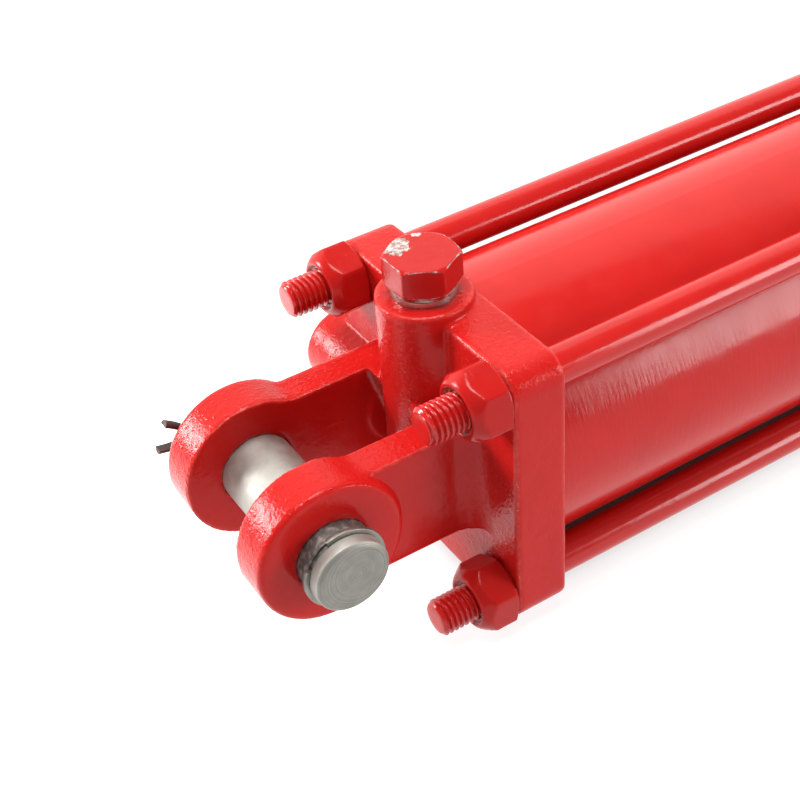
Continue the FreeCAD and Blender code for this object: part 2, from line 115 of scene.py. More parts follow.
def make_camera():
    data = bpy.data.cameras.new("camera")
    data.sensor_width = 36.0
    data.lens = data.sensor_width / 2 / math.tan(CAMERA_FIELD / 2)
    data.clip_start = 0.01
    data.clip_end = 50.0
    camera = bpy.data.objects.new("camera", data)
    ahead = Vector((math.sin(CAMERA_HEADING) * math.cos(CAMERA_DIP),
                    math.cos(CAMERA_HEADING) * math.cos(CAMERA_DIP),
                    -math.sin(CAMERA_DIP)))
    right = ahead.cross(Vector((0, 0, 1))).normalized()
    right = Matrix.Rotation(CAMERA_ROLL, 3, ahead) @ right
    back = -ahead
    up = back.cross(right)
    turn = Matrix((right, up, back)).transposed().to_4x4()
    camera.matrix_world = Matrix.Translation(CAMERA_PLACE) @ turn
    bpy.context.scene.collection.objects.link(camera)
    bpy.context.scene.camera = camera


def smooth_ramp(tree, source, start, end, low_value, high_value):
    """Eases from low_value to high_value while source goes from start to end."""
    remap = tree.nodes.new("ShaderNodeMapRange")
    remap.interpolation_type = "SMOOTHSTEP"
    for socket, value in zip(("From Min", "From Max", "To Min", "To Max"),
                             (start, end, low_value, high_value)):
        remap.inputs[socket].default_value = value
    tree.links.new(source, remap.inputs["Value"])
    return remap.outputs["Result"]


def combine(tree, operation, first, second):
    """A math node on two sockets, or on a socket and a number."""
    made = tree.nodes.new("ShaderNodeMath")
    made.operation = operation
    for socket, value in zip(made.inputs, (first, second)):
        if isinstance(value, (int, float)):
            socket.default_value = value
        else:
            tree.links.new(value, socket)
    return made.outputs["Value"]


def measure(tree, operation, source, vector):
    """A vector math node that gives one number, such as DOT_PRODUCT or DISTANCE."""
    made = tree.nodes.new("ShaderNodeVectorMath")
    made.operation = operation
    made.inputs[1].default_value = vector
    tree.links.new(source, made.inputs[0])
    return made.outputs["Value"]


def make_room():
    """White paper behind the cylinder up to near overhead, and a dimmer room elsewhere."""
    scene = bpy.context.scene
    scene.view_settings.view_transform = "Standard"
    world = bpy.data.worlds.new("studio")
    scene.world = world
    world.use_nodes = True
    tree = world.node_tree
    direction = tree.nodes.new("ShaderNodeTexCoord").outputs["Generated"]
    behind = smooth_ramp(tree, measure(tree, "DOT_PRODUCT", direction, PAPER_SIDE),
                         *PAPER_EDGE, 0, 1)
    below_top = smooth_ramp(tree, measure(tree, "DOT_PRODUCT", direction, OVERHEAD_SIDE),
                            *OVERHEAD_EDGE, 1, OVERHEAD_SHARE)
    paper = combine(tree, "MULTIPLY", behind, below_top)
    strength = smooth_ramp(tree, paper, 0, 1, ROOM_LIGHT, PAPER_LIGHT)
    tree.links.new(strength, tree.nodes["Background"].inputs["Strength"])
    tree.nodes["Background"].inputs["Color"].default_value = ROOM_TINT


def make_soft_box(name, heading, lift, distance, size, radiance, target):
    heading, lift = math.radians(heading), math.radians(lift)
    away = Vector((math.sin(heading) * math.cos(lift), math.cos(heading) * math.cos(lift),
                   math.sin(lift)))
    data = bpy.data.lights.new(name, "AREA")
    data.shape = "RECTANGLE"
    data.size, data.size_y = size
    data.energy = radiance * math.pi * size[0] * size[1]
    light = bpy.data.objects.new(name, data)
    light.location = Vector(target) + away * distance
    light.rotation_euler = (-away).to_track_quat("-Z", "Y").to_euler()
    bpy.context.scene.collection.objects.link(light)


def make_floor():
    mesh = bpy.data.meshes.new("floor")
    half, z = FLOOR_HALF, cad_box[0][2]
    corners = [(-half, -half, z), (half, -half, z), (half, half, z), (-half, half, z)]
    mesh.from_pydata(corners, [], [(0, 1, 2, 3)])
    floor = bpy.data.objects.new("floor", mesh)
    bpy.context.scene.collection.objects.link(floor)
    material = bpy.data.materials.new("pale_floor")
    material.use_nodes = True
    tree = material.node_tree
    shader = tree.nodes["Principled BSDF"]
    shader.inputs["Base Color"].default_value = (FLOOR_TONE, FLOOR_TONE, FLOOR_TONE, 1)
    shader.inputs["Roughness"].default_value = 0.9
    shader.inputs["Specular IOR Level"].default_value = 0.0
    shader.inputs["Emission Color"].default_value = (1, 1, 1, 1)

    place = tree.nodes.new("ShaderNodeTexCoord").outputs["Object"]
    spread = tree.nodes.new("ShaderNodeSeparateXYZ")
    tree.links.new(place, spread.inputs[0])
    # Painted shade: the glow is left out of a box straight under the cylinder.
    outside = []
    for axis, start, end in (("X", SHADE_START, cad_box[1][0]),
                             ("Y", -SHADE_HALF_WIDTH, SHADE_HALF_WIDTH)):
        centred = combine(tree, "SUBTRACT", spread.outputs[axis], (start + end) / 2)
        reach = combine(tree, "ABSOLUTE", centred, 0.0)
        outside.append(smooth_ramp(tree, reach, (end - start) / 2 - SHADE_FADE,
                                   (end - start) / 2, 0, FLOOR_GLOW))
    glow = combine(tree, "MAXIMUM", *outside)
    pool = smooth_ramp(tree, measure(tree, "DISTANCE", place, (*POOL_CENTRE, z)),
                       POOL_RADIUS / 3, POOL_RADIUS, POOL_GLOW, 0)
    tree.links.new(combine(tree, "ADD", glow, pool), shader.inputs["Emission Strength"])
    mesh.materials.append(material)


make_camera()
make_room()
for soft_box in SOFT_BOXES:
    make_soft_box(*soft_box)
make_floor()


# ---- material nodes --------------------------------------------------------------------
class Shader:
    """A principled material with short calls for its texture nodes."""

    def __init__(self, name, metallic=0.0):
        self.material = bpy.data.materials.new(name)
        self.material.use_nodes = True
        self.tree = self.material.node_tree
        self.out = self.tree.nodes["Principled BSDF"]
        self.out.inputs["Metallic"].default_value = metallic
        self.out.inputs["IOR"].default_value = 1.5
        self.normal = None

    def node(self, kind, **settings):
        made = self.tree.nodes.new(kind)
        for key, value in settings.items():
            setattr(made, key, value)
        return made

    def link(self, source, target):
        self.tree.links.new(source, target)

    def place(self, stretch=(1, 1, 1), offset=(0, 0, 0)):
        """Object coordinates, shifted then stretched."""
        mapping = self.node("ShaderNodeMapping")
        mapping.inputs["Location"].default_value = [-o * s for o, s in zip(offset, stretch)]
        mapping.inputs["Scale"].default_value = stretch
        self.link(self.node("ShaderNodeTexCoord").outputs["Object"], mapping.inputs["Vector"])
        return mapping.outputs["Vector"]

    def noise(self, size, detail=3.0, rough=0.55, stretch=(1, 1, 1)):
        """Noise whose features are about size metres across, from 0 to 1."""
        texture = self.node("ShaderNodeTexNoise")
        texture.inputs["Scale"].default_value = 1 / size
        texture.inputs["Detail"].default_value = detail
        texture.inputs["Roughness"].default_value = rough
        self.link(self.place(stretch), texture.inputs["Vector"])
        return texture.outputs["Fac"]

    def ramp(self, source, start, end, to_start=0.0, to_end=1.0):
        return smooth_ramp(self.tree, source, start, end, to_start, to_end)

    def math(self, operation, first, second=0.0):
        return combine(self.tree, operation, first, second)

    def axes(self, vector):
        """The X, Y and Z outputs of a vector socket."""
        parts = self.node("ShaderNodeSeparateXYZ")
        self.link(vector, parts.inputs["Vector"])
        return parts.outputs

    def attribute(self, name):
        return self.node("ShaderNodeAttribute", attribute_name=name).outputs["Fac"]

    def mix(self, factor, first, second):
        """Mixes two colours, each an RGB tuple or a socket."""
        made = self.node("ShaderNodeMix", data_type="RGBA")
        self.link(factor, made.inputs["Factor"])
        colour_inputs = [s for s in made.inputs if s.type == "RGBA"]
        for socket, value in zip(colour_inputs, (first, second)):
            if isinstance(value, tuple):
                socket.default_value = (*value, 1)
            else:
                self.link(value, socket)
        return [s for s in made.outputs if s.type == "RGBA"][0]

    def bump(self, height, depth):
        """Adds relief: depth is how many metres a height of 1 stands up."""
        made = self.node("ShaderNodeBump")
        made.inputs["Distance"].default_value = depth
        made.inputs["Strength"].default_value = 1.0
        self.link(height, made.inputs["Height"])
        if self.normal is not None:
            self.link(self.normal, made.inputs["Normal"])
        self.normal = made.outputs["Normal"]

    def finish(self, colour, roughness):
        self.link(colour, self.out.inputs["Base Color"])
        self.link(roughness, self.out.inputs["Roughness"])
        self.link(self.normal, self.out.inputs["Normal"])
        return self.material


# ---- materials -------------------------------------------------------------------------
PAINT = (0.490, 0.0110, 0.0090)
PAINT_DEEP = (0.430, 0.0080, 0.0075)
PAINT_THIN = (0.560, 0.040, 0.030)
PAINT_SPECK = (0.30, 0.006, 0.006)
BARE = (0.52, 0.48, 0.45)
BARE_DULL = (0.27, 0.13, 0.12)
CHIP_DEPTH = 0.09 * MM
# Brush strokes are strong on the lower half of the tube and fade out between these heights.
STROKES_FADE = (16 * MM, 32 * MM)


def scaled(colour, share):
    return tuple(c * share for c in colour)


def bare_scrapes(s, chips, scrapes):
    """Adds ragged bare patches, each a (centre, radius), to the chips."""
    for centre, radius in scrapes:
        spot = s.node("ShaderNodeVectorMath", operation="LENGTH")
        s.link(s.place(offset=centre), spot.inputs[0])
        ragged = s.math("ADD", s.math("DIVIDE", spot.outputs["Value"], radius),
                        s.math("MULTIPLY", s.noise(3.2 * MM, 5, 0.75), 1.9))
        chips = s.math("MAXIMUM", chips, s.ramp(ragged, 1.75, 1.86, 1, 0))
    return chips


def red_paint(name, shine_level, peel, grain, pits, brushed=0.0, chipped=0.46, scrapes=(),
              tone=1.0):
    """Enamel: peel, grain and brushed are relief depths in metres, pits how many there are.

    chipped is the wear at which bare metal shows, scrapes lists (centre, radius), and tone
    scales the red."""
    s = Shader(name)
    s.out.inputs["Specular IOR Level"].default_value = shine_level
    patches = s.ramp(s.noise(22 * MM, 4), 0.38, 0.68, 0, 0.5)
    colour = s.mix(patches, scaled(PAINT, tone), scaled(PAINT_DEEP, tone))
    wear = s.attribute("wear")
    thin = s.ramp(s.math("MULTIPLY", wear, s.noise(4 * MM, 3)), 0.18, 0.50)
    colour = s.mix(thin, colour, scaled(PAINT_THIN, tone))
    speck = s.ramp(s.noise(2.2 * MM, 2, 0.5), 0.80 - pits, 0.84 - pits)
    colour = s.mix(speck, colour, scaled(PAINT_SPECK, tone))
    chips = s.ramp(s.math("MULTIPLY", wear, s.noise(2.6 * MM, 4, 0.65)), chipped, chipped + 0.06)
    chips = bare_scrapes(s, chips, scrapes)
    flake = s.mix(s.ramp(s.noise(1.4 * MM, 3, 0.7), 0.40, 0.62), BARE_DULL, BARE)
    colour = s.mix(chips, colour, flake)

    # Faces that look along Y are smoother than the rest.
    facing = s.axes(s.node("ShaderNodeTexCoord").outputs["Normal"])
    coarse = s.ramp(s.math("ABSOLUTE", facing["Y"]), 0.70, 0.97, 1, 0.30)
    s.bump(s.math("MULTIPLY", s.noise(3 * MM, 2, 0.5), coarse), peel)
    s.bump(s.math("MULTIPLY", s.noise(1 * MM, 3, 0.6), coarse), grain)
    if brushed:
        side = s.ramp(s.axes(s.place())["Z"], *STROKES_FADE, 1, 0.08)
        strokes = s.noise(1.1 * MM, 3, 0.6, stretch=(1, 0.12, 0.12))
        s.bump(s.math("MULTIPLY", strokes, side), brushed)
    s.bump(s.math("MULTIPLY", s.ramp(s.noise(1.6 * MM, 1, 0.5), 0.50, 0.90), coarse), grain)
    s.bump(s.math("ADD", s.math("MULTIPLY", speck, 0.4), chips), -CHIP_DEPTH)
    gloss = s.ramp(s.noise(9 * MM, 3), 0.3, 0.7, 0.12, 0.22)
    return s.finish(colour, s.math("MAXIMUM", gloss, s.math("MULTIPLY", chips, 0.40)))


def turned_steel(name, centre, colour, half_length):
    """Bare steel turned about the Y axis through centre: bright between the ears of its
    clevis, darker on a band just outside each ear, and with faint rings on its ends, whose faces
    are painted darker as painted shade."""
    s = Shader(name, metallic=1.0)
    spread = s.axes(s.place(offset=centre))
    across = s.math("MULTIPLY", spread["X"], spread["X"])
    up = s.math("MULTIPLY", spread["Z"], spread["Z"])
    radius = s.math("SQRT", s.math("ADD", across, up))
    rings = s.node("ShaderNodeTexNoise", noise_dimensions="1D")
    rings.inputs["Scale"].default_value = 2200
    rings.inputs["Detail"].default_value = 3.0
    s.link(s.math("ADD", radius, s.math("MULTIPLY", spread["Y"], 1.7)), rings.inputs["W"])
    lines = rings.outputs["Fac"]
    stain = s.ramp(s.noise(5 * MM, 4, 0.6), 0.35, 0.75)
    tone = s.mix(stain, colour, scaled(colour, 0.82))
    tone = s.mix(s.ramp(lines, 0.35, 0.7), tone, scaled(colour, 1.08))

    # A band of the pin from inside each ear out to about 39 mm from its middle is made much
    # darker, in patches.
    along = s.math("ABSOLUTE", spread["Y"])
    dark_band = s.math("MULTIPLY", s.ramp(along, 24 * MM, 30 * MM),
                   s.ramp(along, 38.5 * MM, 39.3 * MM, 1, 0))
    dark_band = s.math("MULTIPLY", dark_band, s.ramp(s.noise(2 * MM, 4), 0.2, 0.6))
    tone = s.mix(dark_band, tone, scaled(colour, 0.34))
    # Painted shade: the pin's end faces are made darker than its shaft, keeping their turning
    # rings.
    end_face = s.ramp(along, half_length - 1.2 * MM, half_length - 0.4 * MM)
    shaded_end_face = s.mix(s.ramp(lines, 0.3, 0.7), scaled(colour, 0.60), scaled(colour, 0.78))
    tone = s.mix(end_face, tone, shaded_end_face)
    s.bump(lines, 0.022 * MM)
    s.bump(s.noise(0.7 * MM, 3), 0.020 * MM)
    return s.finish(tone, s.ramp(s.noise(4 * MM, 4, 0.6), 0.3, 0.7, 0.56, 0.70))


def plain_metal(name, colour, rough_low, rough_high, grain=0.02 * MM, size=0.8 * MM,
                stretch=(1, 1, 1)):
    """Stained metal, its grain a relief depth in metres and size how wide that relief is."""
    s = Shader(name, metallic=1.0)
    stain = s.ramp(s.noise(5 * MM, 4, 0.6), 0.35, 0.75)
    tone = s.mix(stain, colour, scaled(colour, 0.70))
    s.bump(s.noise(size, 3, stretch=stretch), grain)
    return s.finish(tone, s.ramp(s.noise(3 * MM, 4), 0.3, 0.7, rough_low, rough_high))


def moulded(name, colour, rough):
    """Rubber or plastic with a little dust on it."""
    s = Shader(name)
    dust = s.ramp(s.noise(4 * MM, 4), 0.45, 0.75)
    tone = s.mix(dust, colour, tuple(c * 1.35 + 0.02 for c in colour))
    s.bump(s.noise(0.8 * MM, 3), 0.03 * MM)
    return s.finish(tone, s.ramp(s.noise(3 * MM, 3), 0.3, 0.7, rough, rough + 0.15))


plug_top = Vector((middle("base_port_plug").x, 0, high("base_port_plug").z))
PLUG_SCRAPES = ((plug_top + Vector((-4.2, 7.3, 0)) * MM, 5.0 * MM),
                (plug_top + Vector((4.2, 9.8, 0)) * MM, 1.5 * MM))
paint_cast = red_paint("red_enamel_on_casting", 0.18, 0.16 * MM, 0.14 * MM, 0.0)
paint_tube = red_paint("red_enamel_on_tube", 0.28, 0.03 * MM, 0.01 * MM, -0.03,
                       brushed=0.09 * MM)
# Painted shade: the plugs and fasteners get a darker copy of the same enamel, tone 0.86.
paint_plug = red_paint("red_enamel_on_plugs", 0.20, 0.06 * MM, 0.04 * MM, 0.0, chipped=0.075,
                       scrapes=PLUG_SCRAPES, tone=0.86)
paint_hardware = red_paint("red_enamel_on_fasteners", 0.20, 0.06 * MM, 0.04 * MM, -0.02,
                           tone=0.86)
paint_rod = red_paint("red_enamel_on_tie_rods", 0.40, 0.04 * MM, 0.02 * MM, -0.02)

PIN_COLOUR = (0.43, 0.415, 0.38)
spring_steel = plain_metal("spring_steel", (0.30, 0.285, 0.255), 0.38, 0.52)
cotter_steel = plain_metal("cotter_steel", (0.12, 0.085, 0.075), 0.55, 0.72, 0.04 * MM)
washer_steel = plain_metal("plug_washer_steel", (0.62, 0.60, 0.57), 0.30, 0.42, 0.004 * MM)
bright_steel = plain_metal("bright_steel", (0.48, 0.47, 0.45), 0.25, 0.40)
chrome = plain_metal("hard_chrome", (0.78, 0.79, 0.81), 0.07, 0.13, 0.003 * MM, 0.4 * MM,
                     stretch=(4, 0.2, 0.2))
iron = plain_metal("piston_iron", (0.24, 0.235, 0.23), 0.40, 0.58, 0.04 * MM)
bronze = plain_metal("bearing_bronze", (0.55, 0.34, 0.14), 0.28, 0.42)
black_oxide = plain_metal("screw_black_oxide", (0.06, 0.06, 0.065), 0.35, 0.50, 0.03 * MM)
rubber = moulded("seal_rubber", (0.018, 0.018, 0.019), 0.50)
urethane = moulded("seal_urethane", (0.30, 0.20, 0.045), 0.38)
nylon = moulded("band_nylon", (0.55, 0.50, 0.38), 0.42)


# ---- mesh helpers ----------------------------------------------------------------------
SHARP_ANGLE = math.radians(38)
CAST_SLOT = "cast_red"
HARDWARE_SLOT = "hardware_red"


def add_piece(name, mesh, material, body, slot, *replaced):
    mesh.validate()
    mesh.polygons.foreach_set("use_smooth", [True] * len(mesh.polygons))
    mesh.set_sharp_from_angle(angle=SHARP_ANGLE)
    mesh.materials.clear()
    mesh.materials.append(material)
    piece = bpy.data.objects.new(name, mesh)
    bpy.context.scene.collection.objects.link(piece)
    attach(piece, body)
    if replaced:
        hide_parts(*replaced)


def millimetres(points):
    return [(x * MM, r * MM) for x, r in points]


def mesh_from(name, points, faces):
    mesh = bpy.data.meshes.new(name)
    mesh.from_pydata([tuple(p) for p in points], [], faces)
    mesh.update()
    return mesh


def soften(profile, radius, steps=3):
    """Rounds each inner corner of an open outline of (x, r) points."""
    points = [Vector(p) for p in profile]
    result = [points[0]]
    for before, corner, after in zip(points, points[1:], points[2:]):
        to_before, to_after = before - corner, after - corner
        reach = min(radius, to_before.length * 0.45, to_after.length * 0.45)
        start = corner + to_before.normalized() * reach
        end = corner + to_after.normalized() * reach
        for i in range(steps + 1):
            t = i / steps
            result.append(start * (1 - t) ** 2 + corner * 2 * t * (1 - t) + end * t ** 2)
    result.append(points[-1])
    return [tuple(p) for p in result]


def split_long(profile, longest):
    """Adds points so that no stretch of the outline is longer than this."""
    result = [profile[0]]
    for (x0, r0), (x1, r1) in zip(profile, profile[1:]):
        parts = max(1, math.ceil(math.hypot(x1 - x0, r1 - r0) / longest))
        for i in range(1, parts + 1):
            result.append((x0 + (x1 - x0) * i / parts, r0 + (r1 - r0) * i / parts))
    return result


def turned_mesh(name, profile, angles, place, radius_of=None, closed=False):
    """Spins an outline of (x, r) about the local X axis, then moves it by place.

    radius_of(x, r, angle) can change the radius. An end at r = 0 becomes one point, and a
    closed outline is joined from its last point to its first."""
    points, rows = [], []
    for x, r in profile:
        if r < 1e-7:
            rows.append([len(points)])
            points.append(place @ Vector((x, 0, 0)))
            continue
        row = []
        for a in angles:
            here = radius_of(x, r, a) if radius_of else r
            row.append(len(points))
            points.append(place @ Vector((x, here * math.cos(a), here * math.sin(a))))
        rows.append(row)
    if closed:
        rows.append(rows[0])
    faces = []
    count = len(angles)
    for lower, upper in zip(rows, rows[1:]):
        for i in range(count):
            j = (i + 1) % count
            if len(lower) == 1:
                faces.append((lower[0], upper[j], upper[i]))
            elif len(upper) == 1:
                faces.append((lower[i], lower[j], upper[0]))
            else:
                faces.append((lower[i], lower[j], upper[j], upper[i]))
    return mesh_from(name, points, faces)


def ring_angles(count):
    return [2 * math.pi * i / count for i in range(count)]


def sweep_mesh(name, path, outward, section):
    """Carries a section of (outward, along Y) points along a flat path of points.

    outward gives the direction away from the path's inner side at each point."""
    points, faces = [], []
    count = len(section)
    for spot, away in zip(path, outward):
        for n, b in section:
            points.append(spot + away * n + Vector((0, b, 0)))
    for i in range(len(path) - 1):
        for j in range(count):
            k = (j + 1) % count
            faces.append((i * count + j, i * count + k, (i + 1) * count + k,
                          (i + 1) * count + j))
    last = (len(path) - 1) * count
    faces.append(tuple(range(count))[::-1])
    faces.append(tuple(range(last, last + count)))
    mesh = mesh_from(name, points, faces)
    shape = bmesh.new()
    shape.from_mesh(mesh)
    bmesh.ops.recalc_face_normals(shape, faces=shape.faces)
    shape.to_mesh(mesh)
    shape.free()
    return mesh


# Turns of the local X axis onto +Y, -Y and +Z.
ALONG_Y = Matrix.Rotation(math.pi / 2, 4, "Z")
AGAINST_Y = Matrix.Rotation(-math.pi / 2, 4, "Z")
ALONG_Z = Matrix.Rotation(-math.pi / 2, 4, "Y")
HALF_TURN = Matrix.Rotation(math.pi, 4, "Z")


# ---- castings --------------------------------------------------------------------------
# Each round of smoothing pulls points towards their neighbours, then part of the way back.
SMOOTHING = (0.6, -0.52) * 3
# Size and share of each layer of lumps in the cast skin.
SKIN_LUMPS = ((9 * MM, 0.9), (3.5 * MM, 0.5), (1.6 * MM, 0.35))
SKIN_DEPTH = 0.07 * MM


def voxel_copy(node, voxel):
    """A copy of the node's mesh, remade from even small quads."""
    source = NODES[node]
    work = bpy.data.objects.new("work", source.data.copy())
    bpy.context.scene.collection.objects.link(work)
    remesh = work.modifiers.new("remesh", "REMESH")
    remesh.mode = "VOXEL"
    remesh.voxel_size = voxel
    remesh.adaptivity = 0.0
    depsgraph = bpy.context.evaluated_depsgraph_get()
    mesh = bpy.data.meshes.new_from_object(work.evaluated_get(depsgraph))
    bpy.data.objects.remove(work)
    return mesh


def neighbour_means(points, edges):
    """For each point, the mean place of the points it shares an edge with."""
    total = np.zeros_like(points)
    count = np.zeros(len(points))
    for a, b in ((0, 1), (1, 0)):
        np.add.at(total, edges[:, a], points[edges[:, b]])
        np.add.at(count, edges[:, a], 1)
    return total / np.maximum(count, 1)[:, None]


def read_points(mesh):
    flat = np.empty(len(mesh.vertices) * 3)
    mesh.vertices.foreach_get("co", flat)
    return flat.reshape(-1, 3)


def read_normals(mesh):
    flat = np.empty(len(mesh.vertices) * 3)
    mesh.vertex_normals.foreach_get("vector", flat)
    return flat.reshape(-1, 3)


def write_points(mesh, points):
    mesh.vertices.foreach_set("co", points.ravel())
    mesh.update()


def edge_list(mesh):
    flat = np.empty(len(mesh.edges) * 2, dtype=np.int64)
    mesh.edges.foreach_get("vertices", flat)
    return flat.reshape(-1, 2)


def worn(mesh, rounds, full_wear):
    """Stores as the wear attribute how far each point stands out of its neighbours' means,
    taken over some rounds, where 1 is full_wear metres or more."""
    points, edges = read_points(mesh), edge_list(mesh)
    smooth = points
    for _ in range(rounds):
        smooth = neighbour_means(smooth, edges)
    stand_out = np.einsum("ij,ij->i", points - smooth, read_normals(mesh))
    wear = np.clip(stand_out / full_wear, 0, 1)
    mesh.attributes.new("wear", "FLOAT", "POINT").data.foreach_set("value", wear)
    return mesh


def casting(node, voxel, body):
    """The node's shape as a painted casting: its edges rounded and its skin uneven."""
    mesh = voxel_copy(node, voxel)
    edges = edge_list(mesh)
    points = read_points(mesh)
    for pull in SMOOTHING:
        points = points + pull * (neighbour_means(points, edges) - points)
    write_points(mesh, points)
    lumps = np.zeros(len(points))
    for i, point in enumerate(points):
        for size, share in SKIN_LUMPS:
            lumps[i] += noise.noise(Vector(point) / size) * share
    points = points + read_normals(mesh) * (lumps * SKIN_DEPTH)[:, None]
    write_points(mesh, points)
    mesh = worn(mesh, 3, voxel / 2.2)
    add_piece(node + "_casting", mesh, paint_cast, body, CAST_SLOT, node)


# ---- threads, nuts and plugs -----------------------------------------------------------
INCH = 25.4 * MM
CORNER_R = 0.3 * MM

TIE_ROD_R = (high("tie_rod_1") - low("tie_rod_1")).y / 2
TIE_ROD_PITCH = INCH / 13
TIE_ROD_THREAD_DEPTH = 0.60 * TIE_ROD_PITCH
TIE_ROD_BEVEL = 1.3 * MM
# The rod stays plain from this far inside one nut to this far inside the other.
THREAD_IN_NUT = 2 * MM
TIE_ROD_STAGGER = 0.37                   # turns from one rod's thread to the next one's

HEXAGON_HALF_FLAT = 11.1 * MM
HEXAGON_SOFTNESS = 0.5 * MM
HEXAGON_FULL_WEAR = 0.77 * MM
# Outlines as (distance from the seat, radius): the nut has a locking cone whose mouth turns
# in to the thread, and the plug a shank below its seat.
NUT_OUTLINE = millimetres((
    (0, 6.6), (0, 10.5), (0.8, 10.5), (0.9, 11.4), (1.3, 12.3), (1.7, 12.8), (8.8, 12.8),
    (10.2, 11.8), (11.6, 10.8), (12.9, 9.8), (13.4, 9.2), (13.7, 8.4), (13.5, 7.8),
    (12.6, 7.2), (12.4, 6.5)))
PLUG_LENGTH = 11.9 * MM
PLUG_OUTLINE = millimetres((
    (-13.5, 0), (-13.5, 4), (-13.5, 7.8), (-12.7, 8.6), (0, 8.6), (0, 10.2), (1.0, 10.2),
    (1.7, 11.1), (2.4, 12.0), (3.0, 12.8), (10.9, 12.8), (11.4, 12.1), (11.9, 11.3),
    (11.9, 9.0), (11.85, 6), (11.9, 3), (11.9, 0)))

PORT_R = 8.72 * MM
PORT_PITCH = INCH / 16
PORT_THREAD_HEIGHT = 0.55 * MM
PORT_THREAD_START = 1.2 * MM
PORT_THREAD_LENGTH = 14 * MM


def thread_shape(turns):
    """Height of a 60 degree thread, from 0 at the root to 1 at the crest."""
    wave = abs(2 * (turns % 1.0) - 1)
    wave = min(1, max(0, (wave - 0.14) / 0.70))
    return wave * wave * (3 - 2 * wave)


def hexagon_radius(angle, turn):
    """Distance from the centre to a hexagon's side, its corners slightly rounded."""
    nearest = []
    for i in range(6):
        lean = math.cos(angle - turn - i * math.pi / 3)
        if lean > 0.3:
            nearest.append(HEXAGON_HALF_FLAT / lean)
    least = min(nearest)
    total = sum(math.exp(-(r - least) / HEXAGON_SOFTNESS) for r in nearest)
    return least - HEXAGON_SOFTNESS * math.log(total) * 0.6


def hexagon_turn(node, place):
    """Direction of one flat of a hexagon node, about the local X axis of place."""
    back = place.inverted()
    spots = [back @ v.co for v in NODES[node].data.vertices]
    corner = max(spots, key=lambda v: v.y * v.y + v.z * v.z)
    return math.atan2(corner.z, corner.y) + math.pi / 6


def hexagon_mesh(node, outline, place, closed=False):
    """A turned outline cut to a hexagon, with its points closer together at the corners."""
    turn = hexagon_turn(node, place)
    steps = (-30, -28.6, -27, -25, -20, -10, 0, 10, 20, 25, 27, 28.6)
    angles = [turn + math.radians(60 * i + step) for i in range(6) for step in steps]
    outline = split_long(soften(outline, CORNER_R), 0.8 * MM)
    mesh = turned_mesh(node, outline, angles, place,
                       lambda x, r, angle: min(r, hexagon_radius(angle, turn)), closed)
    return worn(mesh, 4, HEXAGON_FULL_WEAR)


def tie_rod(number):
    node = "tie_rod_%d" % number
    start, end = low(node).x, high(node).x
    centre = middle(node)
    plain_from = low("base_nut_%d" % number).x + THREAD_IN_NUT
    plain_to = high("head_nut_%d" % number).x - THREAD_IN_NUT
    step = TIE_ROD_PITCH / 12
    tip_r = TIE_ROD_R - TIE_ROD_BEVEL
    edge_r = tip_r - 0.2 * MM
    face_r = TIE_ROD_R * 0.45

    stations = []
    x = start + 0.1 * MM
    while x < plain_from:
        stations.append(x)
        x += step
    stations.append(plain_from + 0.1 * MM)
    stations += [plain_from + (plain_to - plain_from) * i / 8 for i in range(1, 8)]
    x = plain_to
    while x < end - 0.1 * MM:
        stations.append(x)
        x += step
    outline = [(start, 0), (start, face_r), (start, edge_r)]
    outline += [(x, TIE_ROD_R) for x in stations]
    outline += [(end, edge_r), (end, face_r), (end, 0)]

    def radius_of(x, r, angle):
        if r < TIE_ROD_R:
            return r
        if plain_from < x < plain_to:
            return TIE_ROD_R
        bevelled = tip_r + min(x - start, end - x)
        hand = 1 if x < centre.x else -1
        turns = x / TIE_ROD_PITCH - hand * angle / (2 * math.pi)
        groove = thread_shape(turns + number * TIE_ROD_STAGGER)
        return min(TIE_ROD_R - TIE_ROD_THREAD_DEPTH * (1 - groove), bevelled)

    place = Matrix.Translation((0, centre.y, centre.z))
    mesh = turned_mesh(node, outline, ring_angles(56), place, radius_of)
    add_piece("threaded_" + node, mesh, paint_rod, "barrel", HARDWARE_SLOT, node)


def lock_nut(node, outward):
    """outward is the way along X that the nut's cone points, 1 or -1."""
    centre = middle(node)
    if outward < 0:
        place = Matrix.Translation((high(node).x, centre.y, centre.z)) @ HALF_TURN
    else:
        place = Matrix.Translation((low(node).x, centre.y, centre.z))
    mesh = hexagon_mesh(node, NUT_OUTLINE, place, closed=True)
    add_piece("painted_" + node, mesh, paint_hardware, "barrel", HARDWARE_SLOT, node)


def port_plug(node):
    centre = middle(node)
    seat = high(node).z - PLUG_LENGTH
    place = Matrix.Translation((centre.x, centre.y, seat)) @ ALONG_Z
    mesh = hexagon_mesh(node, PLUG_OUTLINE, place)
    add_piece("painted_" + node, mesh, paint_plug, "barrel", HARDWARE_SLOT, node)


def port_thread(end):
    """The thread just inside an open side port."""
    mouth = Vector((middle(end + "_port_plug").x, cad_box[1][1], 0))
    behind_r = PORT_R + 0.18 * MM
    outline = [(PORT_THREAD_START, behind_r), (PORT_THREAD_START + PORT_THREAD_LENGTH, behind_r)]
    steps = int(PORT_THREAD_LENGTH / PORT_PITCH * 8)
    for i in range(steps, -1, -1):
        x = PORT_THREAD_START + PORT_THREAD_LENGTH * i / steps
        outline.append((x, PORT_R - PORT_THREAD_HEIGHT * thread_shape(x / PORT_PITCH)))
    place = Matrix.Translation(mouth) @ AGAINST_Y
    mesh = turned_mesh(end + "_port_thread", outline, ring_angles(48), place, closed=True)
    add_piece(end + "_side_port_thread", mesh, paint_hardware, "barrel", CAST_SLOT)


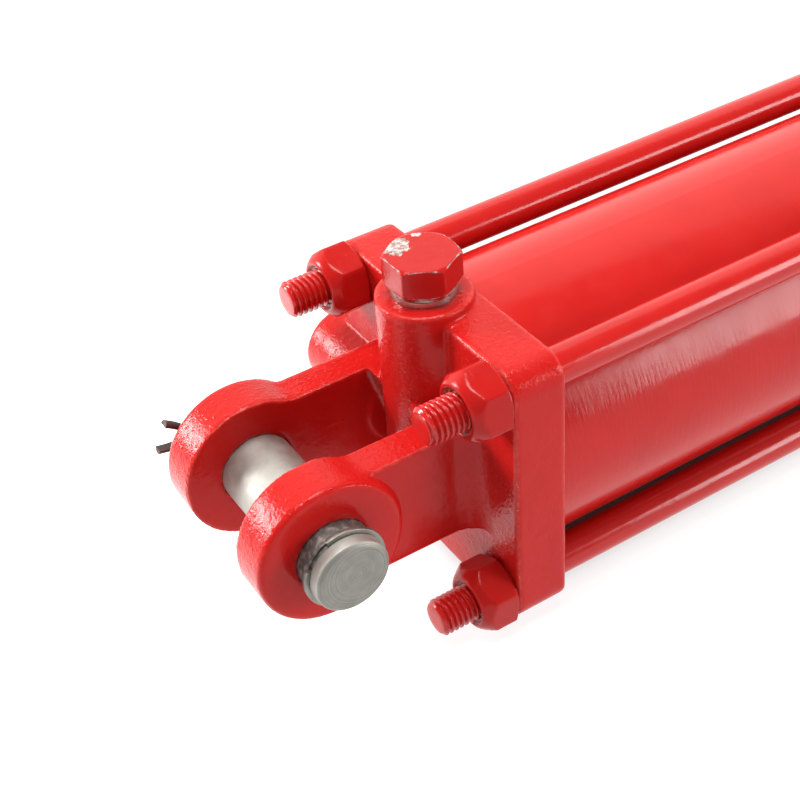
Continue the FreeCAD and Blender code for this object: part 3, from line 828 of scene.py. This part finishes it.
# ---- clevis pins, snap rings and cotters -----------------------------------------------
PIN_BEVEL = 1.3 * MM
# The faint rings on a pin's ends are turned about a point slightly off its centre.
RINGS_OFF_CENTRE = Vector((2, 0, 1)) * MM
GROOVE_R = 11.6 * MM
GROOVE_HALF_WIDTH = 0.95 * MM

RING_INNER_R = 11.65 * MM
RING_OUTER_R = 14.2 * MM
RING_HALF_WIDTH = 0.85 * MM
RING_EDGE_R = 0.3 * MM
RING_OPENS_AT = 134                      # degrees from +X towards +Z
RING_OPENING = 45
RING_STEPS = 84

COTTER_FROM_MIDDLE = 39 * MM
COTTER_LEAN = math.radians(23)
COTTER_WIRE_R = 1.9 * MM
COTTER_FLAT_HALF = COTTER_WIRE_R * 0.93  # half the width of the wire's flat side
COTTER_GAP_HALF = 0.06 * MM
COTTER_EYE_AT = -18.9 * MM
COTTER_EYE_R = 2.9 * MM
COTTER_LEGS_PART_AT = 13.0 * MM
# How far, in degrees, each short stretch of a leg leans away from the cotter's line.
COTTER_LEG_LEANS = (27, 27, 26, 24, 20, 16, 12, 10)
COTTER_LEG_STRETCH = 1.6 * MM


def clevis_pin(end, body, material):
    node = end + "_pin"
    start, stop = low(node).y, high(node).y
    r = (high(node).z - low(node).z) / 2
    groove = middle(node + "_snap_ring").y
    near, far = groove - GROOVE_HALF_WIDTH, groove + GROOVE_HALF_WIDTH
    outline = [(start, 0), (start, r * 0.5), (start, r - PIN_BEVEL), (start + PIN_BEVEL * 0.8, r),
               (near, r), (near, GROOVE_R), (far, GROOVE_R), (far, r),
               (stop - PIN_BEVEL, r), (stop, r - PIN_BEVEL), (stop, r * 0.5), (stop, 0)]
    outline = split_long(soften(outline, CORNER_R), 4 * MM)
    place = Matrix.Translation((middle(node).x, 0, 0)) @ ALONG_Y
    mesh = turned_mesh(node, outline, ring_angles(120), place)
    add_piece("turned_" + node, mesh, material, body, "pin_steel", node)


def snap_ring(end, body):
    node = end + "_pin_snap_ring"
    centre = Vector((middle(end + "_pin").x, middle(node).y, middle(end + "_pin").z))
    inner = RING_EDGE_R
    outer = RING_OUTER_R - RING_INNER_R - RING_EDGE_R
    side = RING_HALF_WIDTH - RING_EDGE_R
    section = []
    for n, b, first in ((outer, side, 0), (inner, side, 90), (inner, -side, 180),
                        (outer, -side, 270)):
        for step in (0, 30, 60, 90):
            a = math.radians(first + step)
            section.append((n + RING_EDGE_R * math.cos(a), b + RING_EDGE_R * math.sin(a)))
    opening_end = RING_OPENS_AT + RING_OPENING / 2
    turns = [math.radians(opening_end + (360 - RING_OPENING) * i / RING_STEPS)
             for i in range(RING_STEPS + 1)]
    away = [Vector((math.cos(a), 0, math.sin(a))) for a in turns]
    path = [centre + d * RING_INNER_R for d in away]
    mesh = sweep_mesh(node, path, away, section)
    add_piece("sprung_" + node, mesh, spring_steel, body, "spring_steel", node)


def cotter_line():
    """Half a cotter's line from a leg's tip to the far end of the eye, then the other half
    mirrored back, as (along, across) points."""
    leg = [(COTTER_LEGS_PART_AT, COTTER_GAP_HALF)]
    for lean in COTTER_LEG_LEANS:
        x, w = leg[-1]
        lean = math.radians(lean)
        leg.append((x + COTTER_LEG_STRETCH * math.cos(lean),
                    w + COTTER_LEG_STRETCH * math.sin(lean)))
    half = leg[::-1]
    half += [(x * MM, COTTER_GAP_HALF) for x in (12.4, 8, 0, -8, -14)]
    for i in range(10):
        a = math.radians(38 + 142 * i / 9)
        half.append((COTTER_EYE_AT + COTTER_EYE_R * math.cos(a), COTTER_EYE_R * math.sin(a)))
    return half + [(x, -w) for x, w in half[-2::-1]]


def cotter(end, body):
    """Half-round wire, doubled back on itself round an eye, its two legs spread."""
    node = end + "_pin_cotter"
    centre = Vector((middle(end + "_pin").x, COTTER_FROM_MIDDLE, middle(end + "_pin").z))
    ahead = Vector((-math.cos(COTTER_LEAN), 0, math.sin(COTTER_LEAN)))
    across = Vector((ahead.z, 0, -ahead.x))
    line = split_long(soften(cotter_line(), 1.2 * MM, 4), 1.5 * MM)
    path = [centre + ahead * x + across * w for x, w in line]
    away = []
    for i in range(len(line)):
        x0, w0 = line[max(0, i - 1)]
        x1, w1 = line[min(len(line) - 1, i + 1)]
        way = Vector((x1 - x0, w1 - w0)).normalized()
        away.append(ahead * way.y - across * way.x)
    section = [(0, -COTTER_FLAT_HALF), (0, COTTER_FLAT_HALF)]
    for i in range(11):
        a = math.radians(80 - 16 * i)
        section.append((COTTER_WIRE_R * math.cos(a), COTTER_WIRE_R * math.sin(a)))
    mesh = sweep_mesh(node, path, away, section)
    add_piece("split_" + node, mesh, cotter_steel, body, "cotter_steel", node)


# ---- the cylinder ----------------------------------------------------------------------
for index in range(1, 5):
    tie_rod(index)
    lock_nut("base_nut_%d" % index, -1)
    lock_nut("head_nut_%d" % index, 1)
for cap in ("base", "head"):
    port_plug(cap + "_port_plug")

casting("base_cap", 0.85 * MM, "barrel")
casting("head_cap", 0.90 * MM, "barrel")
casting("rod_clevis", 0.70 * MM, "rod")

for end in ("base", "rod"):
    pin, pin_body = end + "_pin", end + "_pin_body"
    rings_centre = middle(pin) + RINGS_OFF_CENTRE
    steel = turned_steel("turned_steel_%s_pin" % end, rings_centre, PIN_COLOUR,
                         middle(pin).y - low(pin).y)
    clevis_pin(end, pin_body, steel)
    snap_ring(end, pin_body)
    cotter(end, pin_body)
for cap in ("base", "head"):
    port_thread(cap)


# ---- parts that keep their CAD shape ---------------------------------------------------
def repaint(node, material):
    mesh = NODES[node].data
    mesh.materials.clear()
    mesh.materials.append(material)


KEPT = {
    "barrel_tube": paint_tube, "base_plug_washer": washer_steel,
    "head_plug_washer": washer_steel, "piston_rod": chrome, "rod_nut": bright_steel,
    "piston": iron, "rod_bearing": bronze, "base_tube_seal": rubber,
    "head_tube_seal": rubber, "piston_static_ring": rubber, "rod_seal": urethane,
    "rod_wiper": urethane, "piston_seal": urethane, "piston_wear_band": nylon,
    "clevis_set_screw": black_oxide,
}
for node, material in KEPT.items():
    repaint(node, material)
